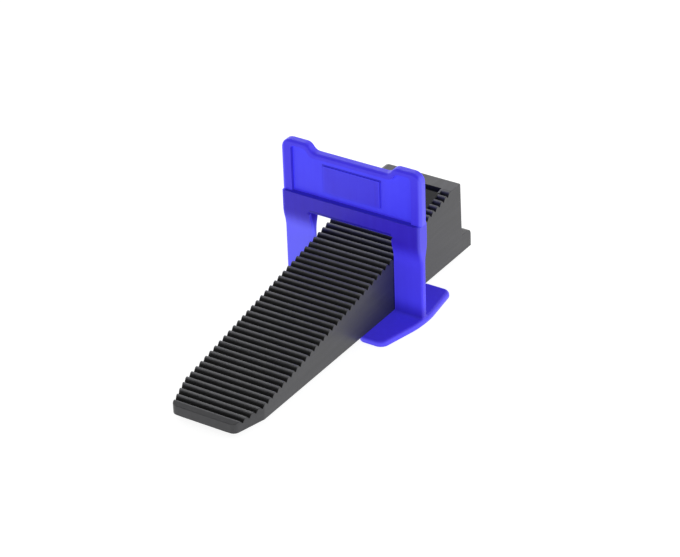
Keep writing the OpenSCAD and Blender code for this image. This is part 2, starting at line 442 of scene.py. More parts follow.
class ShaderTree:
    """A node tree that is filled from Python expressions."""

    def __init__(self, nodes: bpy.types.NodeTree) -> None:
        """Empty a node tree and take it over.

        Args:
            nodes: The tree to fill.
        """
        self.nodes = nodes
        self.nodes.nodes.clear()

    def node(
        self,
        kind: str,
        settings: Optional[Mapping[str, Any]] = None,
        sockets: Optional[Mapping[Union[str, int], Any]] = None,
    ) -> bpy.types.Node:
        """Add a node, set its settings, then give its sockets values or links.

        Args:
            kind: Type name of the node.
            settings: Properties of the node, set first.
            sockets: Input names or numbers with a number, colour, vector or wire.

        Returns:
            The node.
        """
        made = self.nodes.nodes.new(kind)
        for key, value in (settings or {}).items():
            setattr(made, key, value)
        for key, value in (sockets or {}).items():
            if isinstance(value, Wire):
                self.nodes.links.new(value.socket, made.inputs[key])
            else:
                made.inputs[key].default_value = value
        return made

    def wire(self, made: bpy.types.Node, output: Union[str, int] = 0) -> Wire:
        """Wrap one output of a node."""
        return Wire(self, made.outputs[output])

    def maths(self, operation: str, *values: Level) -> Wire:
        """Add a Math node.

        Args:
            operation: Name of the operation.
            values: Its inputs in order.

        Returns:
            The result.
        """
        made = self.node("ShaderNodeMath", {"operation": operation}, dict(enumerate(values)))
        return self.wire(made)

    def greatest(self, *values: Level) -> Wire:
        """Give the greatest of several values."""
        return reduce(lambda first, second: self.maths("MAXIMUM", first, second), values)

    def mix(self, share: Level, first: Union[Wire, Colour], second: Union[Wire, Colour]) -> Wire:
        """Blend two colours.

        Args:
            share: Share of the second colour.
            first: Colour at 0.
            second: Colour at 1.

        Returns:
            The blended colour.
        """
        made = self.node(
            "ShaderNodeMix",
            {"data_type": "RGBA"},
            {"Factor": share, MixColour.FIRST.value: first, MixColour.SECOND.value: second},
        )
        return self.wire(made, MixColour.RESULT.value)

    def split(self, vector: Wire) -> Tuple[Wire, Wire, Wire]:
        """Split a vector into its three parts.

        Args:
            vector: The vector.

        Returns:
            Its parts along X, Y and Z.
        """
        made = self.node("ShaderNodeSeparateXYZ", None, {0: vector})
        return self.wire(made, 0), self.wire(made, 1), self.wire(made, 2)

    def place(self) -> Wire:
        """Read the place on the piece in millimetres.

        Returns:
            The place as a vector.
        """
        coords = self.wire(self.node("ShaderNodeTexCoord"), "Object")
        scaled = self.node("ShaderNodeVectorMath", {"operation": "SCALE"}, {0: coords, "Scale": 1 / MM})
        return self.wire(scaled)

    def noise(self, vector: Wire, stretch: Point, detail: float = 2.0, fine: float = 0.55) -> Wire:
        """Make soft noise with its own grain size in each direction.

        Args:
            vector: Place in millimetres.
            stretch: Grains for each millimetre along X, Y and Z.
            detail: Layers of finer noise.
            fine: Strength of each finer layer against the one before.

        Returns:
            Noise around 0, about half a unit to either side.
        """
        mapped = self.node("ShaderNodeMapping", None, {"Vector": vector, "Scale": stretch})
        made = self.node(
            "ShaderNodeTexNoise",
            None,
            {"Vector": self.wire(mapped), "Scale": 1.0, "Detail": detail, "Roughness": fine},
        )
        return self.wire(made) - 0.5

    def plastic(self, grain: Wire, strength: float, sockets: Mapping[str, Any]) -> Wire:
        """Make a plastic surface with a fine moulded grain.

        Args:
            grain: Height of the grain.
            strength: Strength of the grain.
            sockets: Other inputs of the surface.

        Returns:
            The shader.
        """
        bump = self.node(
            "ShaderNodeBump", None, {"Strength": strength, "Distance": RELIEF, "Height": grain}
        )
        made = self.node("ShaderNodeBsdfPrincipled", None, {"Normal": self.wire(bump), **sockets})
        return self.wire(made)


class Masks:
    """The soft masks of one material, each built once."""

    def __init__(self, readings: Mapping[Reading, Wire]) -> None:
        """Take the readings that masks are made from.

        Args:
            readings: What is measured on the piece.
        """
        self.readings = readings
        self.made: dict[Spot, Wire] = {}

    def spot(self, spot: Spot) -> Wire:
        """Multiply the soft steps that bound a spot.

        Args:
            spot: The soft steps.

        Returns:
            1 on the spot, 0 away from it.
        """
        if spot not in self.made:
            steps = [self.readings[fade.reading].between(fade.start, fade.end) for fade in spot]
            self.made[spot] = reduce(mul, steps)
        return self.made[spot]

    def total(self, layers: Sequence[Layer]) -> Wire:
        """Add up spots by their shares.

        Args:
            layers: Spots with their shares.

        Returns:
            The sum.
        """
        return reduce(add, [self.spot(layer.spot) * layer.share for layer in layers])


class Finish:
    """A finish that makes one material."""

    name: str

    def make(self) -> bpy.types.Material:
        """Make the material with its nodes.

        Returns:
            The material.
        """
        material = bpy.data.materials.new(self.name)
        material.use_nodes = True
        tree = ShaderTree(material.node_tree)
        surface = self.surface(tree)
        tree.node("ShaderNodeOutputMaterial", None, {"Surface": surface})
        return material

    def surface(self, tree: ShaderTree) -> Wire:
        """Build the surface shader; each finish has its own.

        Args:
            tree: Tree to build in.

        Returns:
            The shader.
        """
        raise NotImplementedError


@dataclass(frozen=True)
class BluePlastic(Finish):
    """Satin blue plastic, paler where it is thin, with a painted glow for light carried through it,
    painted highlights on edges and painted shade in creases. Places in millimetres.
    """

    name: str = "clip_plastic"
    shadow: Colour = paint(24, 6, 150)
    deep: Colour = paint(46, 10, 188)
    plain: Colour = paint(54, 36, 210)
    thin: Colour = paint(60, 60, 250)
    # Colours of the painted glow: deep blue, paler blue for the painted highlights on the left leg, ends,
    # lip and sill, and black for no glow.
    inner: Colour = (0.075, 0.06, 1.0, 1.0)
    pale_glow: Colour = (0.16, 0.165, 1.0, 1.0)
    dark: Colour = (0.0, 0.0, 0.0, 1.0)
    to_plain: Range = (-0.1, 0.45)
    to_thin: Range = (0.4, 1.05)
    roughness: float = 0.36
    ior: float = 1.49
    shine: float = 0.3

    # Moulding marks: grains for each millimetre, then what they add to each value.
    flow_grain: Point = (0.9, 0.9, 0.05)
    cloud_grain: Point = (0.12, 0.12, 0.12)
    fine_grain: Point = (5.0, 5.0, 5.0)
    fine_detail: float = 3.0
    flow_mark: float = 0.25
    cloud_mark: float = 0.3
    flow_rough: float = 0.08
    cloud_rough: float = 0.12
    flow_relief: float = 0.6
    grain_strength: float = 0.06

    # Lines on the clip that readings are measured from.
    notch_floor: float = 34.3
    ear_rise: float = 1.75
    notch_half: float = 8.5
    shoulder_end: float = 11.7
    label_half: float = 7.1
    label_tall: float = 3.15
    label_middle: float = 28.6
    rear_field: float = 0.75
    edge_height: float = 15.4
    edge_lean: float = 0.255

    # Spots that are paler or get more painted glow; some are painted highlights or painted shade.
    leg: Spot = (Fade(Reading.Z, 19.4, 14.3), Fade(Reading.Z, 1.3, 5.8))
    left_leg: Spot = leg + (Fade(Reading.X, 4.0, -10.0),)
    plate: Spot = (Fade(Reading.Z, 1.9, 1.2),)
    # Painted highlight along the plate's outer edge, fading out at the very bottom.
    lip_glow: Spot = (Fade(Reading.Z, 1.26, 0.8), Fade(Reading.Z, 0.0, 0.35))
    panel: Spot = (Fade(Reading.Z, 23.75, 24.05),)
    field: Spot = (
        Fade(Reading.DEPTH, 0.95, 0.75),
        Fade(Reading.ACROSS, 15.2, 14.6),
        Fade(Reading.Z, 23.85, 24.65),
        Fade(Reading.UNDER_CROWN, 0.9, 1.5),
    )
    label: Spot = (
        Fade(Reading.ACROSS, 7.4, 6.4),
        Fade(Reading.OFF_LABEL, 3.6, 2.6),
        Fade(Reading.Y, 0.0, -0.3),
    )
    # Painted sheen on the ends of the bar and panel, stronger on the left.
    end: Spot = (Fade(Reading.ACROSS, 16.4, 17.15), Fade(Reading.Z, 14.0, 19.0))
    left_end_sheen: Spot = end + (Fade(Reading.X, 0.0, -10.0),)
    # Painted light on the window's side walls, with painted shade on their rear part.
    jamb: Spot = (
        Fade(Reading.ACROSS, 10.42, 10.32),
        Fade(Reading.Z, 20.5, 19.5),
        Fade(Reading.Z, 1.4, 2.0),
    )
    jamb_rear_shade: Spot = jamb + (Fade(Reading.BEHIND_EDGE, -0.2, 0.15),)
    # Painted highlight line along the lower edge of the bar.
    sill_highlight: Spot = (
        Fade(Reading.Z, 20.0, 19.86),
        Fade(Reading.Z, 18.0, 19.6),
        Fade(Reading.ACROSS, 10.4, 10.1),
    )

    # Spots that lie in a crease, where painted shade darkens the colour toward the shadow colour and dims
    # the painted glow.
    wall: Spot = (
        Fade(Reading.DEPTH, 1.03, 0.97),
        Fade(Reading.DEPTH, 0.46, 0.52),
        Fade(Reading.OFF_REAR_FIELD, 0.02, 0.05),
        Fade(Reading.Z, 23.75, 23.85),
        Fade(Reading.ACROSS, 15.1, 14.97),
        Fade(Reading.UNDER_CROWN, 1.5, 1.9),
    )
    strip: Spot = (
        Fade(Reading.BESIDE_LABEL, 0.0, 0.05),
        Fade(Reading.BESIDE_LABEL, 0.42, 0.2),
        Fade(Reading.Y, -0.2, -0.4),
        Fade(Reading.DEPTH, 0.6, 0.5),
    )
    upper_strip: Spot = strip + (Fade(Reading.Z, 31.0, 31.7),)
    shelf: Spot = (
        Fade(Reading.Z, 23.71, 23.81),
        Fade(Reading.Z, 23.91, 23.85),
        Fade(Reading.DEPTH, 0.6, 1.0),
        Fade(Reading.ACROSS, 16.9, 16.0),
    )
    brink: Spot = (
        Fade(Reading.Z, 20.8, 20.45),
        Fade(Reading.Z, 19.86, 19.95),
        Fade(Reading.ACROSS, 10.4, 10.1),
    )

    # What each spot adds: paleness to the colour, then painted glow, an emission that stands in for light
    # carried through the plastic, with moulding marks varying it.
    paleness: Tuple[Layer, ...] = (
        Layer(leg, 0.45),
        Layer(panel, 0.4),
        Layer(field, 0.45),
        Layer(label, -0.25),
    )
    painted_glow: Tuple[Layer, ...] = (
        Layer(panel, 0.2),
        Layer(leg, 0.27),
        Layer(left_leg, 0.17),
        Layer(plate, 0.14),
        Layer(lip_glow, 0.25),
        Layer(sill_highlight, 0.35),
        Layer(label, -0.07),
        Layer(jamb, 0.14),
        Layer(jamb_rear_shade, -0.3),
        Layer(end, 0.14),
        Layer(left_end_sheen, 0.18),
    )
    painted_glow_all_over: float = 0.17
    mark_light: float = 0.2
    # Share of the paler blue in the painted glow.
    pale_glow_share: Tuple[Layer, ...] = (
        Layer(left_leg, 1.0),
        Layer(end, 1.0),
        Layer(lip_glow, 0.5),
        Layer(sill_highlight, 1.0),
        Layer(leg, 0.1),
    )
    strips: Tuple[Layer, ...] = (Layer(strip, 0.35), Layer(upper_strip, 0.5))
    # How much the painted shade in the creases darkens the colour and dims the painted glow.
    crease_depth: float = 0.85
    crease_dim: float = 0.35

    def masks(self, tree: ShaderTree, vector: Wire) -> Masks:
        """Read what the masks need off the clip.

        Args:
            tree: Tree to build in.
            vector: Place in millimetres.

        Returns:
            The masks.
        """
        x, y, z = tree.split(vector)
        across = abs(x)
        depth = abs(y)
        off_label = abs(z - self.label_middle)
        crown = self.notch_floor + self.ear_rise * across.between(self.notch_half, self.shoulder_end)
        return Masks(
            {
                Reading.X: x,
                Reading.Y: y,
                Reading.Z: z,
                Reading.ACROSS: across,
                Reading.DEPTH: depth,
                Reading.UNDER_CROWN: crown - z,
                Reading.OFF_LABEL: off_label,
                Reading.BESIDE_LABEL: tree.greatest(
                    across - self.label_half, off_label - self.label_tall
                ),
                Reading.OFF_REAR_FIELD: abs(depth - self.rear_field),
                Reading.BEHIND_EDGE: y + (z - self.edge_height) * self.edge_lean,
            }
        )

    def surface(self, tree: ShaderTree) -> Wire:
        """Paint thick parts deep and thin parts pale, with flow lines and a satin grain, painted shade in
        the creases and a painted glow that stands in for light carried through the plastic.

        Args:
            tree: Tree to build in.

        Returns:
            The shader.
        """
        vector = tree.place()
        masks = self.masks(tree, vector)
        flow = tree.noise(vector, self.flow_grain)
        cloud = tree.noise(vector, self.cloud_grain)
        mark = flow * self.flow_mark + cloud * self.cloud_mark
        # Painted shade in the creases.
        crease = tree.greatest(
            masks.spot(self.wall),
            masks.spot(self.shelf),
            masks.total(self.strips),
            masks.spot(self.brink),
        )
        pale = masks.total(self.paleness) + mark
        body = tree.mix(pale.between(*self.to_plain), self.deep, self.plain)
        body = tree.mix(pale.between(*self.to_thin), body, self.thin)
        # Painted glow: emission that stands in for light carried through the plastic.
        light = self.painted_glow_all_over + masks.total(self.painted_glow) + mark * self.mark_light
        tint = tree.mix(masks.total(self.pale_glow_share), self.inner, self.pale_glow)
        fine = tree.noise(vector, self.fine_grain, self.fine_detail)
        return tree.plastic(
            fine + flow * self.flow_relief,
            self.grain_strength,
            {
                "Base Color": tree.mix(crease * self.crease_depth, body, self.shadow),
                "Roughness": self.roughness + cloud * self.cloud_rough + flow * self.flow_rough,
                "IOR": self.ior,
                "Specular IOR Level": self.shine,
                "Emission Color": tree.mix(light * (1 - crease * self.crease_dim), self.dark, tint),
                "Emission Strength": 1.0,
            },
        )


@dataclass(frozen=True)
class BlackPlastic(Finish):
    """Matt black plastic with a fine spark-eroded grain. Places in millimetres."""

    name: str = "wedge_plastic"
    # Painted shade in the grooves.
    deep: Colour = paint(7, 7, 6)
    # Painted shadow on the pad.
    pad_shadow: Colour = paint(10, 10, 11)
    plain: Colour = paint(52, 52, 55)
    # Painted highlight on the rib crests and the heel's top.
    pale: Colour = paint(106, 106, 109)
    to_pale: Range = (-0.1, 0.8)
    roughness: float = 0.4
    ior: float = 1.5

    # Moulding marks: grains for each millimetre, then what they add to each value.
    flow_grain: Point = (0.7, 0.06, 0.7)
    cloud_grain: Point = (0.16, 0.16, 0.16)
    fine_grain: Point = (7.0, 7.0, 7.0)
    fine_detail: float = 3.0
    flow_mark: float = 0.35
    cloud_mark: float = 0.25
    cloud_rough: float = 0.1
    grain_strength: float = 0.12

    # The line of the rib crests that readings are measured from.
    tip: float = -57.5
    foot: float = 3.55
    rise: float = 15.3
    run: float = 80.4
    dip: float = 0.88
    middle: float = 0.15

    # Spots on the top, and what each adds: painted shade in the grooves, painted highlights on the rib
    # crests and the heel's top, a painted shadow on the pad, and changes of roughness.
    ribbed: Spot = (
        Fade(Reading.SIDEWAYS, 0.6, 0.3),
        Fade(Reading.ALONG, 1.002, 1.0),
        Fade(Reading.Y, -56.4, -55.9),
    )
    # Painted shade deep in the grooves, which are also rougher.
    groove: Spot = ribbed + (Fade(Reading.BELOW_CREST, 0.08, 0.42), Fade(Reading.BELOW_CREST, 1.5, 1.2))
    # Painted highlight on the rib crests, which are also a little smoother.
    crest_highlight: Spot = ribbed + (Fade(Reading.BELOW_CREST, 0.2, 0.02),)
    pad: Spot = crest_highlight + (
        Fade(Reading.Y, 8.55, 8.75),
        Fade(Reading.Y, 21.75, 21.65),
        Fade(Reading.OFF_MIDDLE, 7.82, 7.72),
    )
    # Painted highlight on the heel's top, which faces up.
    heel: Spot = (Fade(Reading.ALONG, 1.0, 1.006), Fade(Reading.UPWARD, 0.4, 0.8))
    painted_highlights: Tuple[Layer, ...] = (Layer(crest_highlight, 0.7), Layer(heel, 0.3))
    dulling: Tuple[Layer, ...] = (Layer(crest_highlight, -0.06), Layer(groove, 0.38), Layer(pad, 0.25))

    def masks(self, tree: ShaderTree, vector: Wire) -> Masks:
        """Read what the masks need off the wedge.

        Args:
            tree: Tree to build in.
            vector: Place in millimetres.

        Returns:
            The masks.
        """
        x, y, z = tree.split(vector)
        along = (y - self.tip) / self.run
        crest = self.foot + self.rise * along - self.dip * along * (1 - along)
        facing = tree.split(tree.wire(tree.node("ShaderNodeNewGeometry"), "Normal"))
        return Masks(
            {
                Reading.Y: y,
                Reading.BELOW_CREST: crest - z,
                Reading.OFF_MIDDLE: abs(x - self.middle),
                Reading.ALONG: along,
                Reading.SIDEWAYS: abs(facing[0]),
                Reading.UPWARD: facing[2],
            }
        )

    def surface(self, tree: ShaderTree) -> Wire:
        """Lay a fine grain and flow lines on black, with painted shade in the grooves, painted highlights
        on the rib crests and the heel's top, and a painted shadow on the pad.

        Args:
            tree: Tree to build in.

        Returns:
            The shader.
        """
        vector = tree.place()
        masks = self.masks(tree, vector)
        flow = tree.noise(vector, self.flow_grain)
        cloud = tree.noise(vector, self.cloud_grain)
        # Painted highlights plus moulding marks.
        highlight_and_marks = masks.total(self.painted_highlights) + flow * self.flow_mark + cloud * self.cloud_mark
        body = tree.mix(highlight_and_marks.between(*self.to_pale), self.plain, self.pale)
        # Painted shadow on the pad.
        body = tree.mix(masks.spot(self.pad), body, self.pad_shadow)
        return tree.plastic(
            tree.noise(vector, self.fine_grain, self.fine_detail),
            self.grain_strength,
            {
                "Base Color": tree.mix(masks.spot(self.groove), body, self.deep),
                "Roughness": self.roughness + cloud * self.cloud_rough + masks.total(self.dulling),
                "IOR": self.ior,
            },
        )


@dataclass(frozen=True)
class TableWhite(Finish):
    """Pale matt table top with a light of its own."""

    name: str = "table_white"
    plain: Colour = (0.32, 0.32, 0.32, 1.0)
    white: Colour = (1.0, 1.0, 1.0, 1.0)
    glow: float = 0.9
    roughness: float = 0.9

    def surface(self, tree: ShaderTree) -> Wire:
        """Make the surface without shine.

        Args:
            tree: Tree to build in.

        Returns:
            The shader.
        """
        made = tree.node(
            "ShaderNodeBsdfPrincipled",
            None,
            {
                "Base Color": self.plain,
                "Roughness": self.roughness,
                "Specular IOR Level": 0.0,
                "Emission Color": self.white,
                "Emission Strength": self.glow,
            },
        )
        return tree.wire(made)


class Moulding:
    """A piece moulded in one shot: it is built, dressed and set on its body."""

    body: Body

    def build(self) -> bpy.types.Object:
        """Build the mesh of the piece; each moulding has its own."""
        raise NotImplementedError

    def dress(self, obj: bpy.types.Object, finish: Finish) -> None:
        """Give the piece its finish and put it in place of the plain node.

        Args:
            obj: The piece.
            finish: Its finish.
        """
        obj.data.materials.append(finish.make())
        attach(obj, self.body.value)
        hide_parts(self.body.value)
        LOG.info("%s: %d faces", obj.name, len(obj.data.polygons))


@dataclass
class Clip(Moulding):
    """The clip: base plate, two legs, bar and crowned grip panel. Sizes in millimetres."""

    body: Body = Body.CLIP
    plate_bend: float = 17.9
    plate_reach: float = 12.95
    front_lip: float = 0.25
    plate_top: float = 1.3
    bend_lead: float = 0.4
    front_draw: float = 13.2
    rear_draw: float = 7.9
    recess_half: float = 8.4
    recess: float = 3.0
    half: float = 17.25
    window: float = 10.3
    leg: float = 0.8
    leg_root: float = 0.4
    bar: float = 1.65
    foot: float = 0.6
    foot_steps: int = 6
    swell: float = 5.4
    swell_steps: int = 12
    bar_low: float = 19.7
    ridge: float = 23.85
    panel: float = 1.05
    panel_over: float = 0.12
    # How far the panel's hidden root reaches into the bar, and its share of the width.
    panel_root: float = 0.6
    root_share: float = 0.97
    top: float = 36.05
    notch: float = 1.75
    notch_half: float = 8.5
    shoulder: float = 3.2
    shoulder_steps: int = 8
    rim_side: float = 2.3
    rim_top: float = 1.2
    # How far under the ears' roundings the rim's line ends at the sides.
    rim_drop: float = 1.0
    field_corner: float = 0.8
    corner_steps: int = 3
    field_front: float = 0.6
    field_rear: float = 0.3
    field_wall: float = 0.16
    label_half: float = 7.1
    label_low: float = 25.45
    label_high: float = 31.75
    label_rise: float = 0.3
    label_root: float = 0.2
    bend_round: Rounding = Rounding(4.1, 10, along_edges=True)
    corner_round: Rounding = Rounding(1.6, 8, along_edges=True)
    recess_round: Rounding = Rounding(1.9, 8)
    plate_round: Rounding = Rounding(0.8, 6)
    plate_break: Rounding = Rounding(0.1, 2)
    leg_round: Rounding = Rounding(0.42, 5)
    bar_round: Rounding = Rounding(0.8, 6)
    shelf_round: Rounding = Rounding(0.14, 2)
    ear_round: Rounding = Rounding(2.25, 9)
    rim_round: Rounding = Rounding(0.62, 6)
    rear_round: Rounding = Rounding(0.28, 4)
    label_round: Rounding = Rounding(0.12, 2)

    def base_plate(self) -> Shell:
        """Cut the plate's outline, round its corners and bends, then its edges.

        Returns:
            The base plate.
        """
        end, inner = self.plate_reach, self.plate_reach - self.recess
        nose = end + self.front_lip
        front = (nose - self.bend_lead) * math.tan(math.radians(self.front_draw))
        rear = (end + self.bend_lead) * math.tan(math.radians(self.rear_draw))
        right = [
            (self.recess_half, -inner),
            (self.recess_half, -nose),
            (self.plate_bend - front, -nose),
            (self.plate_bend, -self.bend_lead),
            (self.plate_bend - rear, end),
            (self.recess_half, end),
            (self.recess_half, inner),
        ]
        outline = right + [(-x, y) for x, y in reversed(right)]
        shell = Shell.sheet([(x, y, 0.0) for x, y in outline], Axis.Z.value * self.plate_top)

        def upright(edge: BMEdge, at_end: bool, outside: bool) -> bool:
            """Tell whether an edge is one of the standing corners of the outline.

            Args:
                edge: Edge to test.
                at_end: Pick corners at the front and rear ends, else between them.
                outside: Pick corners outside the recesses, else at a recess.

            Returns:
                Whether it is such a corner.
            """
            place = edge.verts[0].co
            ends = min(abs(place.y + nose), abs(place.y - end)) < CLOSE
            wide = abs(place.x) > self.recess_half + NEAR
            return span(edge, Axis.Z) > NEAR and ends == at_end and wide == outside

        shell.round(shell.edges(lambda e: upright(e, at_end=False, outside=True)), self.bend_round)
        shell.round(shell.edges(lambda e: upright(e, at_end=True, outside=True)), self.corner_round)
        shell.round(shell.edges(lambda e: upright(e, at_end=True, outside=False)), self.recess_round)
        high = self.plate_top - CLOSE
        shell.round(shell.edges(lambda e: steep(e) and both(e, lambda p: p.z > high)), self.plate_round)
        shell.round(shell.edges(lambda e: steep(e) and both(e, lambda p: p.z < CLOSE)), self.plate_break)
        return shell

    def thickness(self, height: float) -> float:
        """Give half the thickness of a leg at a height.

        Args:
            height: Height over the ground.

        Returns:
            Half thickness, from the foot fillet over the swell to the bar.
        """
        step = self.bar - self.leg
        sweep = (self.swell**2 + step**2) / (4 * step)
        low = self.bar_low - self.swell
        over = min(max(self.plate_top + self.foot - height, 0.0), self.foot)
        foot = self.foot - math.sqrt(self.foot**2 - over**2)
        if height <= low:
            return self.leg + foot
        if height <= low + self.swell / 2:
            return self.leg + sweep - math.sqrt(sweep**2 - (height - low) ** 2)
        gone = max(self.bar_low - height, 0.0)
        return self.bar - sweep + math.sqrt(sweep**2 - gone**2)

    def legs(self) -> Shell:
        """Shape one leg from a sliced blank, draw the bar out of it, round both and mirror them.

        Returns:
            Both legs with the bar between them.
        """
        shell = Shell.block(
            (self.window, -self.leg, self.plate_top - self.leg_root), (self.half, self.leg, self.ridge)
        )
        fillet = [self.plate_top + self.foot * (1 - math.cos(turn)) for turn in quarter(self.foot_steps)]
        swell = [self.bar_low - self.swell * part for part in parts(self.swell_steps)]
        shell.slice(Axis.Z, fillet + swell)
        shell.reshape(lambda p: Vector((p.x, math.copysign(self.thickness(p.z), p.y), p.z)))
        inner = shell.faces(
            lambda f: f.normal.x < -FACING and f.calc_center_median().z > self.bar_low
        )
        moved, ends = shell.draw_out(inner)
        bmesh.ops.translate(shell.bm, vec=(-self.window, 0.0, 0.0), verts=moved)
        bmesh.ops.delete(shell.bm, geom=ends, context="FACES_ONLY")
        shell.bm.normal_update()
        outer = shell.edges(
            lambda e: steep(e)
            and both(e, lambda p: p.x > self.half - NEAR)
            and e.verts[0].co.y * e.verts[1].co.y > 0
            and span(e, Axis.Z) > NEAR
        )
        shell.round(outer, self.leg_round)
        under = shell.edges(
            lambda e: both(e, lambda p: abs(p.z - self.bar_low) < NEAR and p.x < self.window + NEAR)
            and span(e, Axis.X) > self.window / 2
        )
        shell.round(under, self.bar_round)
        shelf = shell.edges(lambda e: steep(e) and both(e, lambda p: p.z > self.ridge - NEAR))
        shell.round(shelf, self.shelf_round)
        shell.mirrored()
        return shell

    def crown(self, x: float, low: float = 0.0) -> float:
        """Give the height of the crowned outline.

        Args:
            x: Distance from the middle.
            low: How far the line lies inside the panel's own outline.

        Returns:
            Height over the ground.
        """
        start = self.notch_half + low / 2
        sweep = (self.shoulder**2 + self.notch**2) / (4 * self.notch)
        gone = min(max(abs(x) - start, 0.0), self.shoulder)
        if gone < self.shoulder / 2:
            return self.top - low - self.notch + sweep - math.sqrt(sweep**2 - gone**2)
        height = self.top - low - sweep + math.sqrt(sweep**2 - (self.shoulder - gone) ** 2)
        if not low:
            return height
        corner = self.field_corner
        over = min(max(abs(x) - self.half + self.rim_side + corner, 0.0), corner)
        return height - corner + math.sqrt(max(corner**2 - over**2, 0.0))

    def grip_panel(self) -> Shell:
        """Slice a blank, set its top to the crown, sink a field in each face and round the rim.

        Returns:
            The grip panel.
        """
        base = self.ridge - self.panel_root
        middle = (self.ridge + self.top) / 2
        wide = self.half + self.panel_over
        field = self.half - self.rim_side
        shell = Shell.block((-wide, -self.panel, base), (wide, self.panel, self.top))
        steps = [self.notch_half + self.shoulder * part for part in parts(self.shoulder_steps)]
        lines = {*steps, *(step + self.rim_top / 2 for step in steps)}
        lines |= {field - self.field_corner * (1 - math.sin(turn)) for turn in quarter(self.corner_steps)}
        shell.slice(Axis.X, sides(lines))
        shell.slice(Axis.Z, [self.ridge, middle])

        def settle(place: Vector) -> Vector:
            """Set a corner of the blank to the crown, the field's top or the hidden root.

            Args:
                place: Place of the corner in the blank.

            Returns:
                Its place in the panel.
            """
            if place.z > self.top - NEAR:
                place.z = self.crown(place.x)
            elif abs(place.z - middle) < NEAR and abs(place.x) < field + CLOSE:
                place.z = self.crown(place.x, self.rim_top)
            elif abs(place.z - middle) < NEAR:
                place.z = self.top - self.ear_round.reach - self.rim_drop
            elif place.z < self.ridge - NEAR:
                place.x *= self.root_share
            return place

        shell.reshape(settle)

        def in_field(face: BMFace, sign: int) -> bool:
            """Tell whether a face of the front or the rear lies in the field.

            Args:
                face: Face to test.
                sign: -1 for the front, 1 for the rear.

            Returns:
                Whether it lies in the field.
            """
            x = face.calc_center_median().x
            under = max(vert.co.z for vert in face.verts) < self.crown(x) - self.rim_top / 2
            return face.normal.y * sign > FACING and abs(x) < field and under

        for sign, depth in ((-1, self.field_front), (1, self.field_rear)):
            bmesh.ops.inset_region(
                shell.bm,
                faces=shell.faces(lambda f: in_field(f, sign)),
                thickness=self.field_wall,
                depth=-depth,
                use_even_offset=True,
            )
        ears = shell.edges(
            lambda e: span(e, Axis.Y) > self.panel
            and both(e, lambda p: p.z > self.top - NEAR and abs(p.x) > wide - NEAR)
        )
        shell.round(ears, self.ear_round)
        rim = shell.edges(
            lambda e: steep(e)
            and span(e, Axis.Y) < CLOSE
            and both(e, lambda p: abs(p.y) > self.panel - CLOSE and p.z > base + NEAR)
            and any(abs(f.normal.y) < 1 - FACING for f in e.link_faces)
        )
        shell.round([e for e in rim if e.verts[0].co.y < 0.0], self.rim_round)
        shell.round([e for e in rim if e.is_valid and e.verts[0].co.y > 0.0], self.rear_round)
        return shell

    def label_pad(self) -> Shell:
        """Raise a plain pad with soft edges in the front field.

        Returns:
            The pad.
        """
        field = -self.panel + self.field_front
        shell = Shell.block(
            (-self.label_half, field - self.label_rise, self.label_low),
            (self.label_half, field + self.label_root, self.label_high),
        )
        shell.round(shell.edges(lambda e: both(e, lambda p: p.y < field)), self.label_round)
        return shell

    def build(self) -> bpy.types.Object:
        """Build the clip from its skins.

        Returns:
            The clip.
        """
        return cast(
            "clip_body", [self.base_plate(), self.legs(), self.grip_panel(), self.label_pad()]
        )


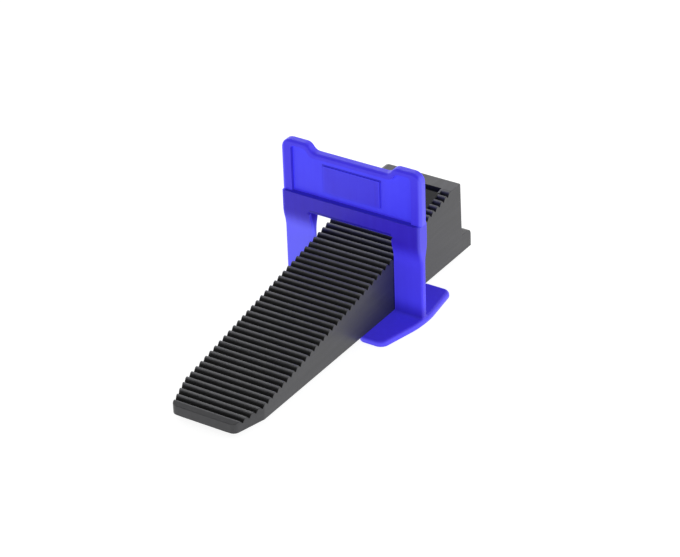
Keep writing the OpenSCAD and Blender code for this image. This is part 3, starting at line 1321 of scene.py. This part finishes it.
@dataclass
class Wedge(Moulding):
    """The ribbed wedge with its heel, ledge and hollow underside. Sizes in millimetres."""

    body: Body = Body.WEDGE
    half: float = 9.8
    shift: float = 0.15
    low: float = 1.35
    blank: float = 20.0
    tip_reach: float = 57.5
    incline: float = 80.4
    tip_height: float = 2.2
    shoulder_height: float = 17.5
    dip: float = 0.22
    heel: float = 4.45
    nose: float = 7.7
    nose_half: float = 7.75
    nose_radius: float = 1.5
    nose_turns: Tuple[int, ...] = (12, 24, 36, 48, 60, 74)
    pitch: float = 1.716
    groove_depth: float = 0.75
    crest_flat: float = 0.46
    root_flat: float = 0.12
    first_groove: float = 2.19
    pad_half: float = 7.75
    pad: float = 13.0
    slot: float = 1.7
    slot_half: float = 7.25
    slot_setback: float = 1.2
    slot_depth: float = 1.0
    # Run of the steep steps at the ends and at the sides of the pad and the cross groove.
    hair: float = 0.02
    side_run: float = 0.06
    rear_lean: float = 0.6
    left_edge: float = 1.5
    left_steps: int = 9
    ledge: float = 4.1
    ledge_height: float = 4.4
    ledge_root: float = 0.6
    ledge_inset: float = 0.004
    wall: float = 1.8
    web: float = 1.4
    roof: float = 2.4
    hollow_start: float = 20.0
    rows: int = 8
    rear_round: Rounding = Rounding(0.3, 4)
    brow_round: Rounding = Rounding(0.3, 4)
    ledge_round: Rounding = Rounding(1.5, 7)
    edge_round: Rounding = Rounding(0.11, 2)
    # Least turn in degrees, and least length on a crest, of an edge that is rounded.
    edge_turn: float = 22.0
    edge_least: float = 0.1

    def crest(self, along: float) -> float:
        """Give the height of the rib crests.

        Args:
            along: Distance from the tip.

        Returns:
            Height over the underside.
        """
        part = along / self.incline
        straight = self.tip_height + (self.shoulder_height - self.tip_height) * part
        return straight - 4 * self.dip * part * (1 - part)

    @property
    def grooves(self) -> list[float]:
        """Middles of the grooves, measured from the tip."""
        count = math.floor((self.incline - self.first_groove - self.pitch / 2) / self.pitch) + 1
        return [self.first_groove + self.pitch * k for k in range(count)]

    @property
    def pad_start(self) -> float:
        """Distance from the tip to the start of the plain pad."""
        return self.pad_end - self.pad

    @property
    def pad_end(self) -> float:
        """Distance from the tip to the end of the plain pad."""
        return self.incline - self.slot_setback

    @property
    def slot_end(self) -> float:
        """Distance from the tip to the end of the cross groove."""
        return self.pad_end + self.slot

    @property
    def hollows(self) -> list[Range]:
        """Near and far ends of the rows of hollows, measured from the tip."""
        end = self.incline + self.heel - self.wall
        step = (end + self.web - self.hollow_start) / self.rows
        starts = [self.hollow_start + step * row for row in range(self.rows)]
        return [(start, start + step - self.web) for start in starts]

    def ribbed(self, along: float) -> float:
        """Give the height of the ribbed top.

        Args:
            along: Distance from the tip.

        Returns:
            Height over the underside.
        """
        if along > self.incline:
            return self.shoulder_height
        middle = min(self.grooves, key=lambda groove: abs(groove - along))
        off = abs(along - middle)
        edge = (self.pitch - self.crest_flat) / 2
        if off >= edge - TINY:
            return self.crest(along)
        root = self.crest(middle) - self.groove_depth
        if off <= self.root_flat / 2 + TINY:
            return root
        side = self.crest(middle + math.copysign(edge, along - middle))
        return root + (side - root) * (off - self.root_flat / 2) / (edge - self.root_flat / 2)

    def surface(self, along: float, across: float) -> float:
        """Give the height of the top with the pad and the cross groove.

        Args:
            along: Distance from the tip.
            across: Distance from the middle plane.

        Returns:
            Height over the underside.
        """
        if across > self.pad_half + NEAR or along < self.pad_start - CLOSE:
            return self.ribbed(along)
        in_slot = self.pad_end + CLOSE < along < self.slot_end - self.hair / 2
        if across < self.slot_half + NEAR and in_slot:
            return self.crest(self.pad_end) - self.slot_depth
        return self.crest(min(along, self.incline))

    def left_drop(self, x: float) -> float:
        """Give how far the heel's rounded left edge lies under its flat top.

        Args:
            x: Place across the wedge.

        Returns:
            Drop under the flat top.
        """
        over = min(max(self.left_edge - self.half - x, 0.0), self.left_edge)
        return self.left_edge - math.sqrt(self.left_edge**2 - over**2)

    def plan_half(self, along: float) -> float:
        """Give half the width of the wedge seen from above.

        Args:
            along: Distance from the tip.

        Returns:
            Half width with the rounded nose.
        """
        slope = math.atan2(self.half - self.nose_half, self.nose)
        cut = self.nose_radius * math.tan((math.pi / 2 - slope) / 2)
        if along >= cut * math.cos(slope):
            return min(self.half, self.nose_half + along * math.tan(slope))
        rest = self.nose_radius - max(along, 0.0)
        return self.nose_half - cut + math.sqrt(self.nose_radius**2 - rest**2)

    def blank_slices(self) -> Shell:
        """Slice a blank at every rib, at the pad, at the heel's left edge and at the hollows.

        Returns:
            The sliced blank.
        """
        end = self.incline + self.heel
        shell = Shell.block(
            (-self.half, -self.tip_reach, self.low),
            (self.half, end - self.tip_reach, self.low + self.blank),
        )
        edge = (self.pitch - self.crest_flat) / 2
        lines = {self.nose, self.incline, self.pad_start, self.pad_start - self.hair}
        lines |= {self.pad_end, self.pad_end + self.hair, self.slot_end - self.hair, self.slot_end}
        lines |= {self.nose_radius * (1 - math.cos(math.radians(turn))) for turn in self.nose_turns}
        for middle in self.grooves:
            lines |= {middle - edge, middle - self.root_flat / 2}
            lines |= {middle + self.root_flat / 2, middle + edge}
        for ends in self.hollows:
            lines |= set(ends)
        shell.slice(Axis.Y, [line - self.tip_reach for line in lines])

        def on_top(face: BMFace, start: float, end: float) -> bool:
            """Tell whether a face of the top lies between two distances from the tip."""
            along = face.calc_center_median().y + self.tip_reach
            return face.normal.z > FACING and start < along < end

        arc = [self.left_edge * (1 - math.sin(turn)) for turn in quarter(self.left_steps)[:-1]]
        shell.slice(
            Axis.X, [line - self.half for line in arc], lambda f: on_top(f, self.incline, end)
        )
        walls = (self.slot_half, self.slot_half + self.side_run)
        walls += (self.pad_half, self.pad_half + self.side_run)
        pad_from = self.pad_start - self.hair
        shell.slice(Axis.X, sides(walls), lambda f: on_top(f, pad_from, self.slot_end))
        webs = (self.web / 2, self.half - self.wall)
        shell.slice(Axis.X, sides(webs), lambda f: f.normal.z < -FACING)
        return shell

    def ribbed_body(self) -> Shell:
        """Set the slices of the blank to height, narrow the nose, hollow it and round it.

        Returns:
            The wedge without its ledge.
        """
        shell = self.blank_slices()
        end = self.incline + self.heel

        def settle(place: Vector) -> Vector:
            """Set a corner of the blank to the top's height and the nose's width.

            Args:
                place: Place of the corner in the blank.

            Returns:
                Its place on the wedge.
            """
            along = place.y + self.tip_reach
            if place.z > self.low + self.blank - NEAR:
                place.z = self.low + self.surface(along, abs(place.x))
                if along > self.incline + NEAR:
                    place.z -= self.left_drop(place.x)
            if along > end - NEAR:
                drop = self.low + self.shoulder_height - place.z
                place.y += self.rear_lean * drop / self.shoulder_height
            place.x *= self.plan_half(along) / self.half
            return place

        shell.reshape(settle)
        self.hollow(shell)
        self.soften(shell)
        return shell

    def hollow(self, shell: Shell) -> None:
        """Push the hollows up into the underside.

        Args:
            shell: Skin of the wedge.
        """

        def inside(face: BMFace, ends: Range, side: int) -> bool:
            """Tell whether a face of the underside belongs to a hollow.

            Args:
                face: Face to test.
                ends: Near and far ends of the hollow.
                side: -1 for the left column, 1 for the right.

            Returns:
                Whether it belongs to the hollow.
            """
            middle = face.calc_center_median()
            in_row = ends[0] < middle.y + self.tip_reach < ends[1]
            in_column = self.web / 2 < middle.x * side < self.half - self.wall
            return face.normal.z < -FACING and in_row and in_column

        for ends in self.hollows:
            for side in (-1, 1):
                for corner in shell.draw_out(shell.faces(lambda f: inside(f, ends, side)))[0]:
                    along = min(corner.co.y + self.tip_reach, self.incline)
                    corner.co.z = self.low + self.crest(along) - self.roof

    def soften(self, shell: Shell) -> None:
        """Round the heel's corners, the rib crests and the outer edges.

        Args:
            shell: Skin of the wedge.
        """
        rear = self.incline + self.heel - self.tip_reach
        corners = shell.edges(
            lambda e: both(e, lambda p: p.y > rear - NEAR and abs(p.x) > self.half - NEAR)
            and span(e, Axis.Z) > NEAR
        )
        shell.round(corners, self.rear_round)
        top = self.low + self.shoulder_height - self.left_edge - NEAR
        start = rear - 2 * self.rear_round.reach
        brow = shell.edges(lambda e: steep(e) and both(e, lambda p: p.y > start and p.z > top))
        shell.round(brow, self.brow_round)

        def outer(edge: BMEdge) -> bool:
            """Tell whether an edge is an outer edge or a rib crest.

            Args:
                edge: Edge to test.

            Returns:
                Whether it is to be rounded.
            """
            if edge.calc_face_angle_signed(0.0) < math.radians(self.edge_turn):
                return False
            side = both(edge, lambda p: abs(p.x) > self.plan_half(p.y + self.tip_reach) - NEAR)
            front = both(edge, lambda p: p.y < NEAR - self.tip_reach)
            back = both(edge, lambda p: p.y > rear - NEAR)
            return side or front or back or self.on_crest(edge)

        shell.round(shell.edges(outer), self.edge_round)

    def on_crest(self, edge: BMEdge) -> bool:
        """Tell whether an edge runs across the wedge on the line of the rib crests.

        Args:
            edge: Edge to test.

        Returns:
            Whether it lies there.
        """
        if span(edge, Axis.Y) >= CLOSE or span(edge, Axis.X) <= self.edge_least:
            return False
        place = edge.verts[0].co
        along = place.y + self.tip_reach
        off = abs(place.z - self.low - self.crest(along))
        return along <= self.incline + NEAR and off < self.hair

    def rear_ledge(self) -> Shell:
        """Round the ledge behind the heel.

        Returns:
            The ledge.
        """
        back = self.incline + self.heel + self.ledge - self.tip_reach
        front = back - self.ledge - self.ledge_root
        side = self.half - self.ledge_inset
        top = self.low + self.ledge_height
        shell = Shell.block((-side, front, self.low + self.ledge_inset), (side, back, top))
        brow = shell.edges(lambda e: both(e, lambda p: p.y > back - NEAR and p.z > top - NEAR))
        shell.round(brow, self.ledge_round)
        free = shell.edges(
            lambda e: steep(e)
            and (both(e, lambda p: p.y > front + NEAR) or span(e, Axis.Y) > self.ledge / 2)
        )
        shell.round(free, self.edge_round)
        return shell

    def build(self) -> bpy.types.Object:
        """Build the wedge from its skins.

        Returns:
            The wedge.
        """
        shells = [self.ribbed_body(), self.rear_ledge()]
        for shell in shells:
            bmesh.ops.translate(shell.bm, vec=(self.shift, 0.0, 0.0), verts=shell.bm.verts[:])
        return cast("wedge_body", shells)


@dataclass(frozen=True)
class Studio:
    """White table and soft surrounding light, with a darker side behind the camera."""

    table: TableWhite = TableWhite()
    reach: float = 0.9
    gap: float = 0.02
    walls: float = 1.4
    ceiling: float = 0.35
    shade: float = 0.06
    shade_turn: Range = (0.0, -0.55)
    shade_rise: Range = (0.02, 0.2)
    ceiling_rise: Range = (0.62, 0.8)

    def floor(self) -> bpy.types.Object:
        """Lay the pale table top.

        Returns:
            The table top.
        """
        bm = bmesh.new()
        bmesh.ops.create_grid(bm, x_segments=1, y_segments=1, size=self.reach)
        bmesh.ops.translate(bm, vec=(0.0, 0.0, -self.gap * MM), verts=bm.verts[:])
        obj = put_in_scene("table_top", bm)
        obj.data.materials.append(self.table.make())
        return obj

    def light(self) -> bpy.types.World:
        """Surround the object with white walls under a dimmer ceiling.

        Returns:
            The world.
        """
        world = bpy.data.worlds.new("light_tent")
        world.use_nodes = True
        tree = ShaderTree(world.node_tree)
        _, north, up = tree.split(tree.wire(tree.node("ShaderNodeTexCoord"), "Generated"))
        front = north.between(*self.shade_turn) * up.between(*self.shade_rise)
        wall = self.walls + (self.shade - self.walls) * front
        level = wall + (self.ceiling - wall) * up.between(*self.ceiling_rise)
        back = tree.node("ShaderNodeBackground", None, {"Color": level, "Strength": 1.0})
        tree.node("ShaderNodeOutputWorld", None, {"Surface": tree.wire(back)})
        bpy.context.scene.world = world
        return world

    def build(self) -> None:
        """Lay the table, set the light and show colours as they are."""
        self.floor()
        self.light()
        bpy.context.scene.view_settings.view_transform = "Standard"


@dataclass(frozen=True)
class PhotoCamera:
    """The photograph's viewpoint: a long lens from the front right, looking down."""

    azimuth: float = 33.98
    elevation: float = 30.575
    roll: float = -2.0355
    focal: float = 2927.36
    distance: float = 630.953
    origin_u: float = 356.755
    origin_v: float = 302.096
    sensor: float = 36.0
    sight: Range = (0.01, 20.0)

    def build(self) -> bpy.types.Object:
        """Place the camera and make it the scene's own.

        Returns:
            The camera.
        """
        turn, lift, roll = (math.radians(a) for a in (self.azimuth, self.elevation, self.roll))
        back = Vector(
            (math.sin(turn) * math.cos(lift), -math.cos(turn) * math.cos(lift), math.sin(lift))
        )
        right = Vector((math.cos(turn), math.sin(turn), 0.0))
        up = back.cross(right)
        side = right * math.cos(roll) + up * math.sin(roll)
        head = up * math.cos(roll) - right * math.sin(roll)
        shift_u = (self.origin_u - IMAGE_WIDTH / 2) / self.focal * self.distance
        shift_v = (IMAGE_HEIGHT / 2 - self.origin_v) / self.focal * self.distance
        place = (back * self.distance - side * shift_u - head * shift_v) * MM
        data = bpy.data.cameras.new("photo_camera")
        data.sensor_fit = "HORIZONTAL"
        data.sensor_width = self.sensor
        data.lens = self.focal * self.sensor / IMAGE_WIDTH
        data.clip_start, data.clip_end = self.sight
        camera = bpy.data.objects.new("photo_camera", data)
        camera.matrix_world = Matrix(
            (
                (side.x, head.x, back.x, place.x),
                (side.y, head.y, back.y, place.y),
                (side.z, head.z, back.z, place.z),
                (0.0, 0.0, 0.0, 1.0),
            )
        )
        bpy.context.scene.collection.objects.link(camera)
        bpy.context.scene.camera = camera
        return camera


def main() -> None:
    """Build the camera, the studio and the two mouldings."""
    logging.basicConfig(level=logging.INFO, format="%(name)s: %(message)s")
    PhotoCamera().build()
    Studio().build()
    for moulding, finish in ((Clip(), BluePlastic()), (Wedge(), BlackPlastic())):
        moulding.dress(moulding.build(), finish)


if __name__ == "__main__":
    main()
